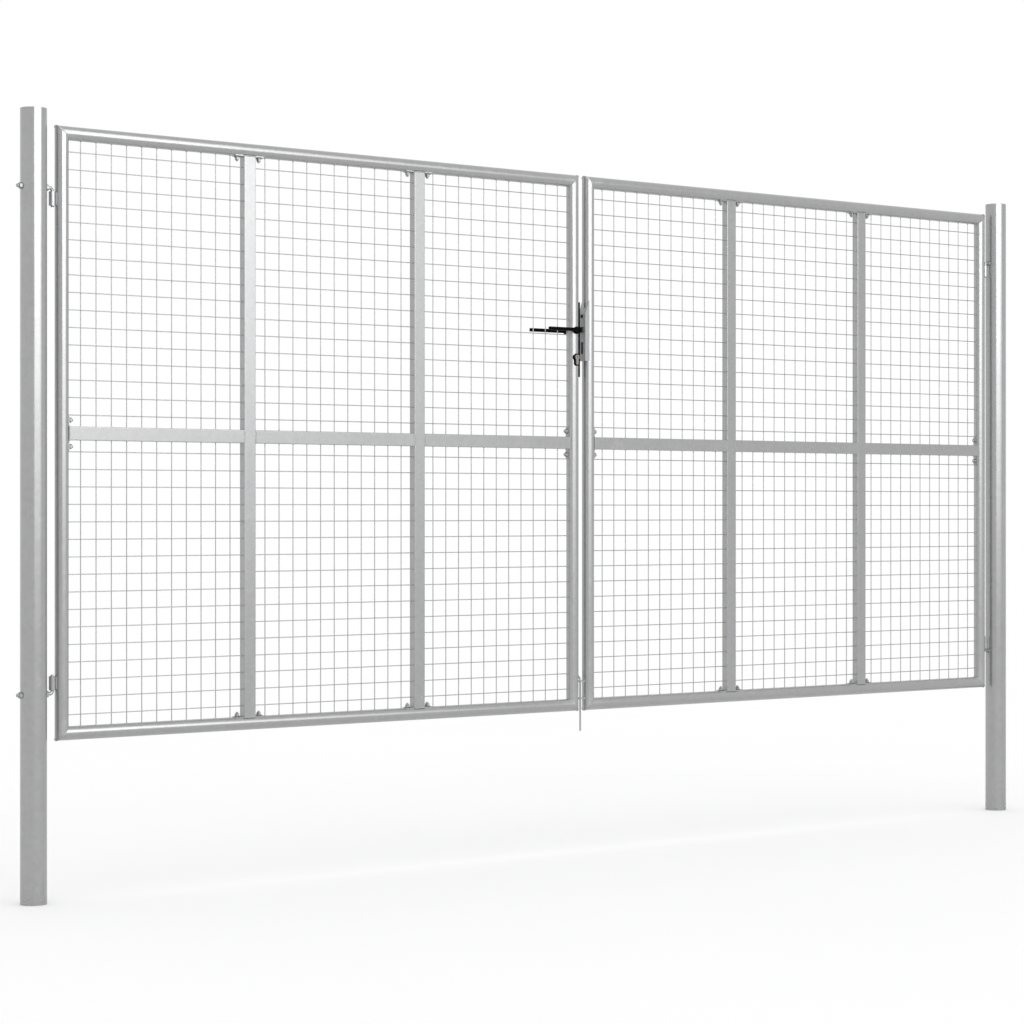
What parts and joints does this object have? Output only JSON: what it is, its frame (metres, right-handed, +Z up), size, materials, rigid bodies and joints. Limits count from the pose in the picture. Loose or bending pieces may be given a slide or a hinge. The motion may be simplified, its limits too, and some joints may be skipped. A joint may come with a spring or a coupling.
{
  "type": "garden gate",
  "caption": "Double-leaf garden gate of galvanised tube with welded wire mesh, round posts, lever lock and drop bolt.",
  "frame": {"origin": "midway between the leaves on the gate's middle plane, at the buried feet of the posts", "axes": "+X along the gate towards the leaf with the drop bolt, -Y towards the front, +Z up"},
  "size_m": [4.086, 0.111, 2.25],
  "materials": {
    "post_galvanised": "hot-dip galvanised, satin",
    "cap_galvanised": "pressed galvanised sheet",
    "tube_galvanised": "hot-dip galvanised tube, satin",
    "bar_galvanised": "galvanised section, satin",
    "wire_galvanised": "galvanised welded wire",
    "zinc_hardware": "bright zinc plated",
    "lock_black": "black powder coat",
    "lock_steel": "plain zinc plated steel",
    "cylinder_nickel": "matt nickel plated"
  },
  "bodies": {
    "posts": {"left_post": "post_galvanised", "right_post": "post_galvanised", "post_caps": "cap_galvanised", "left_top_hinge_pin": "zinc_hardware", "right_top_hinge_pin": "zinc_hardware", "left_bottom_hinge_pin": "zinc_hardware", "right_bottom_hinge_pin": "zinc_hardware", "hinge_pin_nuts": "zinc_hardware"},
    "left_leaf": {"left_top_rail": "tube_galvanised", "left_bottom_rail": "tube_galvanised", "left_hinge_stile": "tube_galvanised", "left_meeting_stile": "tube_galvanised", "left_outer_mullion": "bar_galvanised", "left_inner_mullion": "bar_galvanised", "left_mid_rail": "bar_galvanised", "left_upper_outer_mesh": "wire_galvanised", "left_upper_middle_mesh": "wire_galvanised", "left_upper_inner_mesh": "wire_galvanised", "left_lower_outer_mesh": "wire_galvanised", "left_lower_middle_mesh": "wire_galvanised", "left_lower_inner_mesh": "wire_galvanised", "left_saddle_plates": "bar_galvanised", "left_frame_studs": "zinc_hardware", "left_frame_nuts": "zinc_hardware", "left_hinge_barrels": "tube_galvanised", "lock_case": "lock_steel", "lock_faceplate": "lock_black", "lock_screws": "lock_black", "profile_cylinder": "cylinder_nickel", "cylinder_rim": "lock_black", "lever_roses": "lock_black"},
    "lever_set": {"front_lever": "lock_black", "rear_lever": "lock_black", "lever_spindle": "lock_steel", "lock_follower": "lock_steel"},
    "latch": {"latch_bolt": "lock_black"},
    "lock_bolt": {"dead_bolt": "lock_steel"},
    "key_plug": {"cylinder_plug": "cylinder_nickel"},
    "right_leaf": {"right_top_rail": "tube_galvanised", "right_bottom_rail": "tube_galvanised", "right_hinge_stile": "tube_galvanised", "right_meeting_stile": "tube_galvanised", "right_outer_mullion": "bar_galvanised", "right_inner_mullion": "bar_galvanised", "right_mid_rail": "bar_galvanised", "right_upper_outer_mesh": "wire_galvanised", "right_upper_middle_mesh": "wire_galvanised", "right_upper_inner_mesh": "wire_galvanised", "right_lower_outer_mesh": "wire_galvanised", "right_lower_middle_mesh": "wire_galvanised", "right_lower_inner_mesh": "wire_galvanised", "right_saddle_plates": "bar_galvanised", "right_frame_studs": "zinc_hardware", "right_frame_nuts": "zinc_hardware", "right_hinge_barrels": "tube_galvanised", "keeper": "bar_galvanised", "keeper_screws": "zinc_hardware", "drop_bolt_guides": "bar_galvanised"},
    "ground_bolt": {"drop_bolt": "zinc_hardware"}
  },
  "joints": [
    {"name": "left_leaf_swing", "type": "hinge", "parent": "posts", "child": "left_leaf", "pos_m": [-1.931, 0, 1.333], "axis": [0, 0, 1], "range_deg": [-90, 90]},
    {"name": "right_leaf_swing", "type": "hinge", "parent": "posts", "child": "right_leaf", "pos_m": [1.931, 0, 1.333], "axis": [0, 0, 1], "range_deg": [-90, 90]},
    {"name": "lever_turn", "type": "hinge", "parent": "left_leaf", "child": "lever_set", "pos_m": [-0.033, 0, 1.7], "axis": [0, -1, 0], "range_deg": [0, 40], "stiffness_Nm_per_rad": 1.5, "springref_deg": -20.05},
    {"name": "latch_slide", "type": "slide", "parent": "left_leaf", "child": "latch", "axis": [1, 0, 0], "range_m": [-0.008, 0]},
    {"name": "key_turn", "type": "hinge", "parent": "left_leaf", "child": "key_plug", "pos_m": [-0.033, 0, 1.612], "axis": [0, -1, 0], "range_deg": [0, 360]},
    {"name": "bolt_slide", "type": "slide", "parent": "left_leaf", "child": "lock_bolt", "axis": [1, 0, 0], "range_m": [0, 0.022]},
    {"name": "drop_bolt_slide", "type": "slide", "parent": "right_leaf", "child": "ground_bolt", "axis": [0, 0, 1], "range_m": [0, 0.08]}
  ],
  "couplings": [
    {"joint": "latch_slide", "follows": "lever_turn", "m_per_rad": -0.01145},
    {"joint": "key_turn", "follows": "bolt_slide", "rad_per_m": 285.5}
  ]
}
